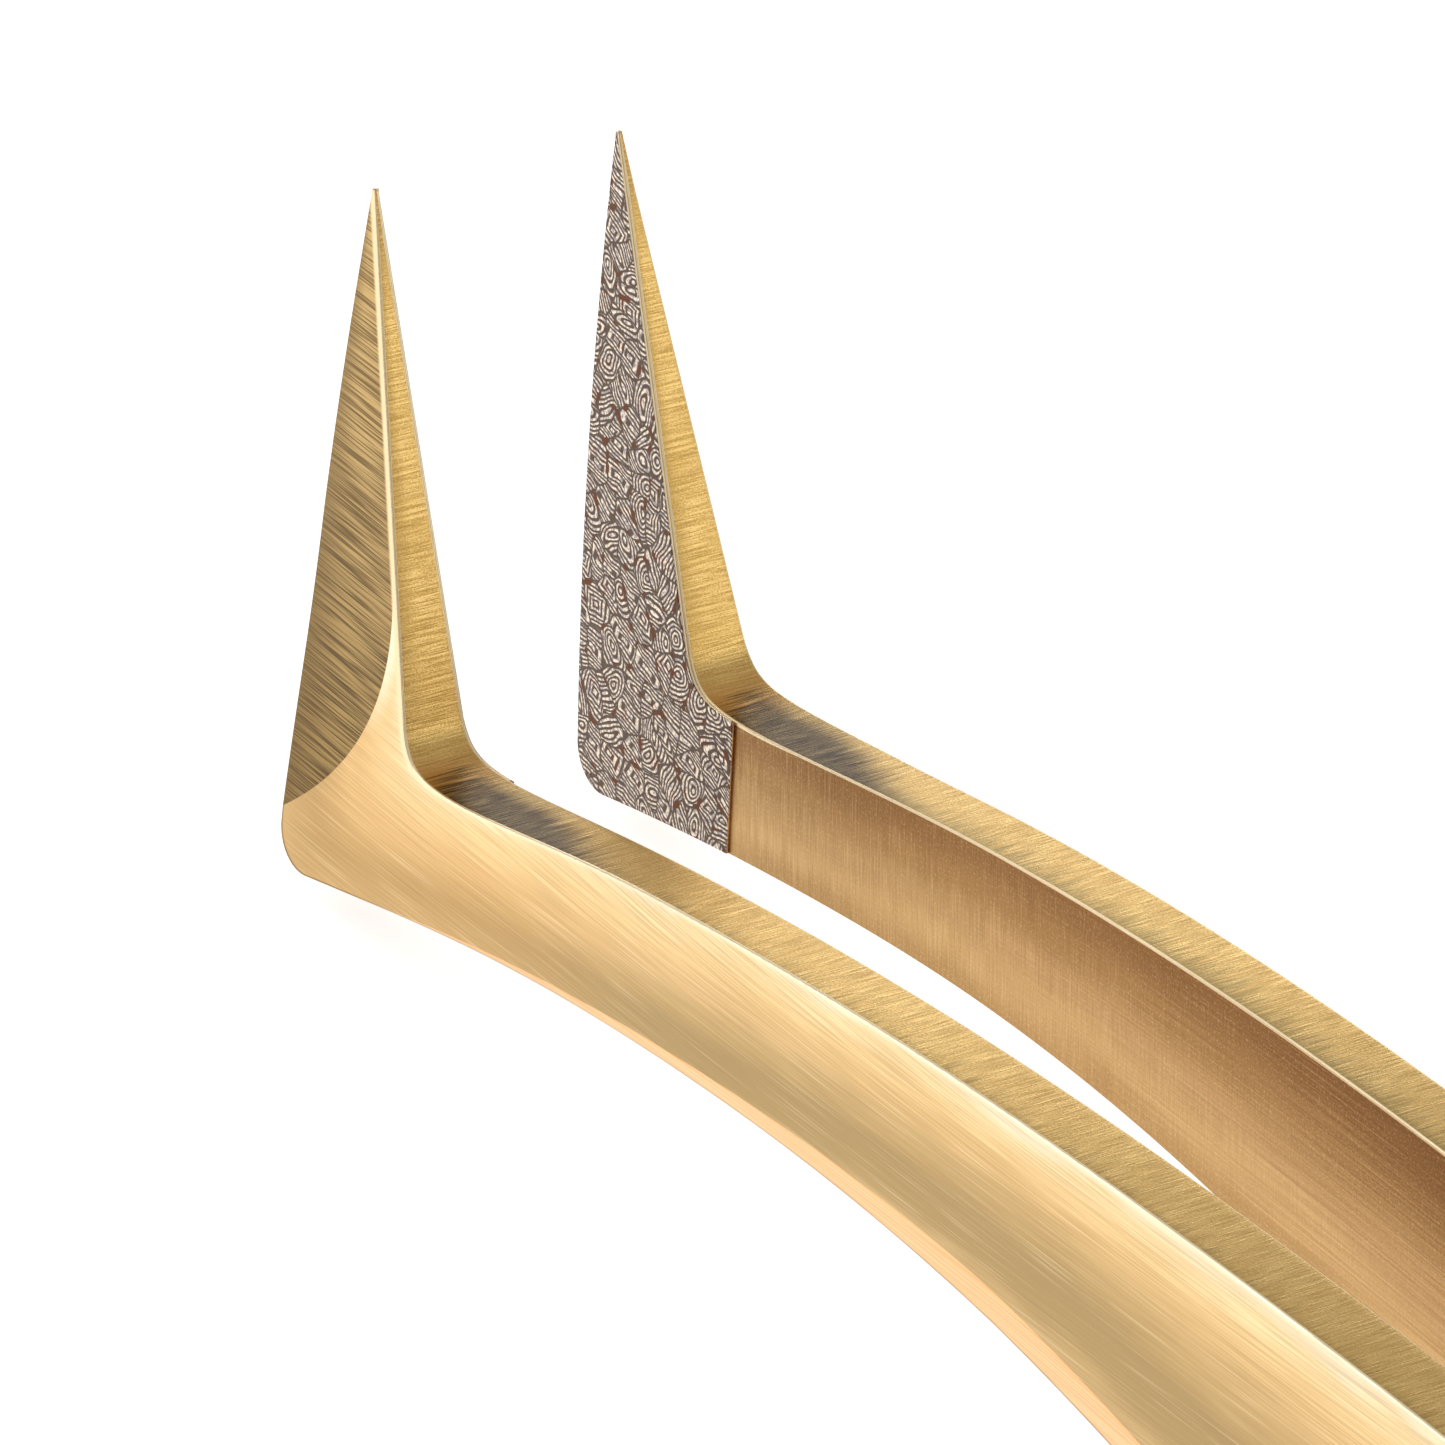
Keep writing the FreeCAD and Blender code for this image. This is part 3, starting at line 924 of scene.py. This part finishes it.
# ---------------------------------------------------------------- stage, light and camera

LIGHT_AIM = Vector((-0.045, 0.0, 0.005))


def area_light(name, direction, distance, size, power):
    """A soft light that looks at LIGHT_AIM from that direction, sizes in metres, power in watts."""
    data = bpy.data.lights.new(name, "AREA")
    data.shape = "RECTANGLE"
    data.size, data.size_y = size
    data.energy = power
    light = bpy.data.objects.new(name, data)
    bpy.context.scene.collection.objects.link(light)
    way = Vector(direction).normalized()
    light.location = LIGHT_AIM + way * distance
    light.rotation_euler = way.to_track_quat("Z", "Y").to_euler()


area_light("softbox_front", (-0.675, -0.515, 0.527), 0.6, (0.35, 0.35), 0.55)
area_light("softbox_low_front", (-0.677, -0.725, 0.14), 0.6, (0.4, 0.2), 0.22)
area_light("softbox_left", (-0.81, 0.54, 0.27), 0.7, (0.5, 0.13), 0.42)
area_light("softbox_right", (0.84, 0.51, 0.21), 0.7, (0.4, 0.4), 0.46)

# the floor lies just under the object and glows a little, so that it stays white
FLOOR_SIZE = 40.0
FLOOR_Z = -0.00005
half = FLOOR_SIZE / 2
corners = [(-half, -half, 0), (half, -half, 0), (half, half, 0), (-half, half, 0)]
floor_mesh = bpy.data.meshes.new("floor")
floor_mesh.from_pydata(corners, [], [(0, 1, 2, 3)])
floor = bpy.data.objects.new("floor", floor_mesh)
bpy.context.scene.collection.objects.link(floor)
floor.location.z = FLOOR_Z
pale = Graph("pale_floor")
pale.shader.inputs["Base Color"].default_value = (0.9, 0.9, 0.9, 1)
pale.shader.inputs["Roughness"].default_value = 0.8
pale.shader.inputs["Emission Color"].default_value = (1, 1, 1, 1)
pale.shader.inputs["Emission Strength"].default_value = 0.7
floor_mesh.materials.append(pale.material)

# the world is grey, dark up to one height of the view direction and light above another
WORLD_LOW = 0.12
WORLD_HIGH = 0.42
WORLD_DARK = 0.14
WORLD_LIGHT = 0.55
world = bpy.data.worlds.new("studio")
world.use_nodes = True
nodes = world.node_tree.nodes
links = world.node_tree.links
direction = nodes.new("ShaderNodeTexCoord")
height = nodes.new("ShaderNodeSeparateXYZ")
shade = nodes.new("ShaderNodeMapRange")
links.new(direction.outputs["Generated"], height.inputs[0])
links.new(height.outputs[2], shade.inputs[0])
for socket, value in zip(shade.inputs[1:5], (WORLD_LOW, WORLD_HIGH, WORLD_DARK, WORLD_LIGHT)):
    socket.default_value = value
links.new(shade.outputs[0], nodes["Background"].inputs["Color"])
nodes["Background"].inputs["Strength"].default_value = 1.0
bpy.context.scene.world = world
bpy.context.scene.view_settings.view_transform = "Standard"

AZIMUTH = math.radians(52.359)
ELEVATION = math.radians(31.19)
ROLL = math.radians(6.711)
LENS = 298.96
SENSOR = 36.0
DISTANCE = 0.252855
AIM = Vector((-0.0578029, 0.0050399, 0.0024722))
level_right = Vector((math.cos(AZIMUTH), math.sin(AZIMUTH), 0))
level_back = Vector((math.sin(AZIMUTH), -math.cos(AZIMUTH), 0))
back = level_back * math.cos(ELEVATION) + Vector((0, 0, math.sin(ELEVATION)))
level_up = back.cross(level_right)
right = math.cos(ROLL) * level_right + math.sin(ROLL) * level_up
up = math.cos(ROLL) * level_up - math.sin(ROLL) * level_right
camera_data = bpy.data.cameras.new("camera")
camera_data.sensor_width = SENSOR
camera_data.lens = LENS
camera_data.clip_start = 0.01
camera = bpy.data.objects.new("camera", camera_data)
bpy.context.scene.collection.objects.link(camera)
orientation = Matrix((right, up, back)).transposed().to_4x4()
camera.matrix_world = Matrix.Translation(AIM + back * DISTANCE) @ orientation
bpy.context.scene.camera = camera
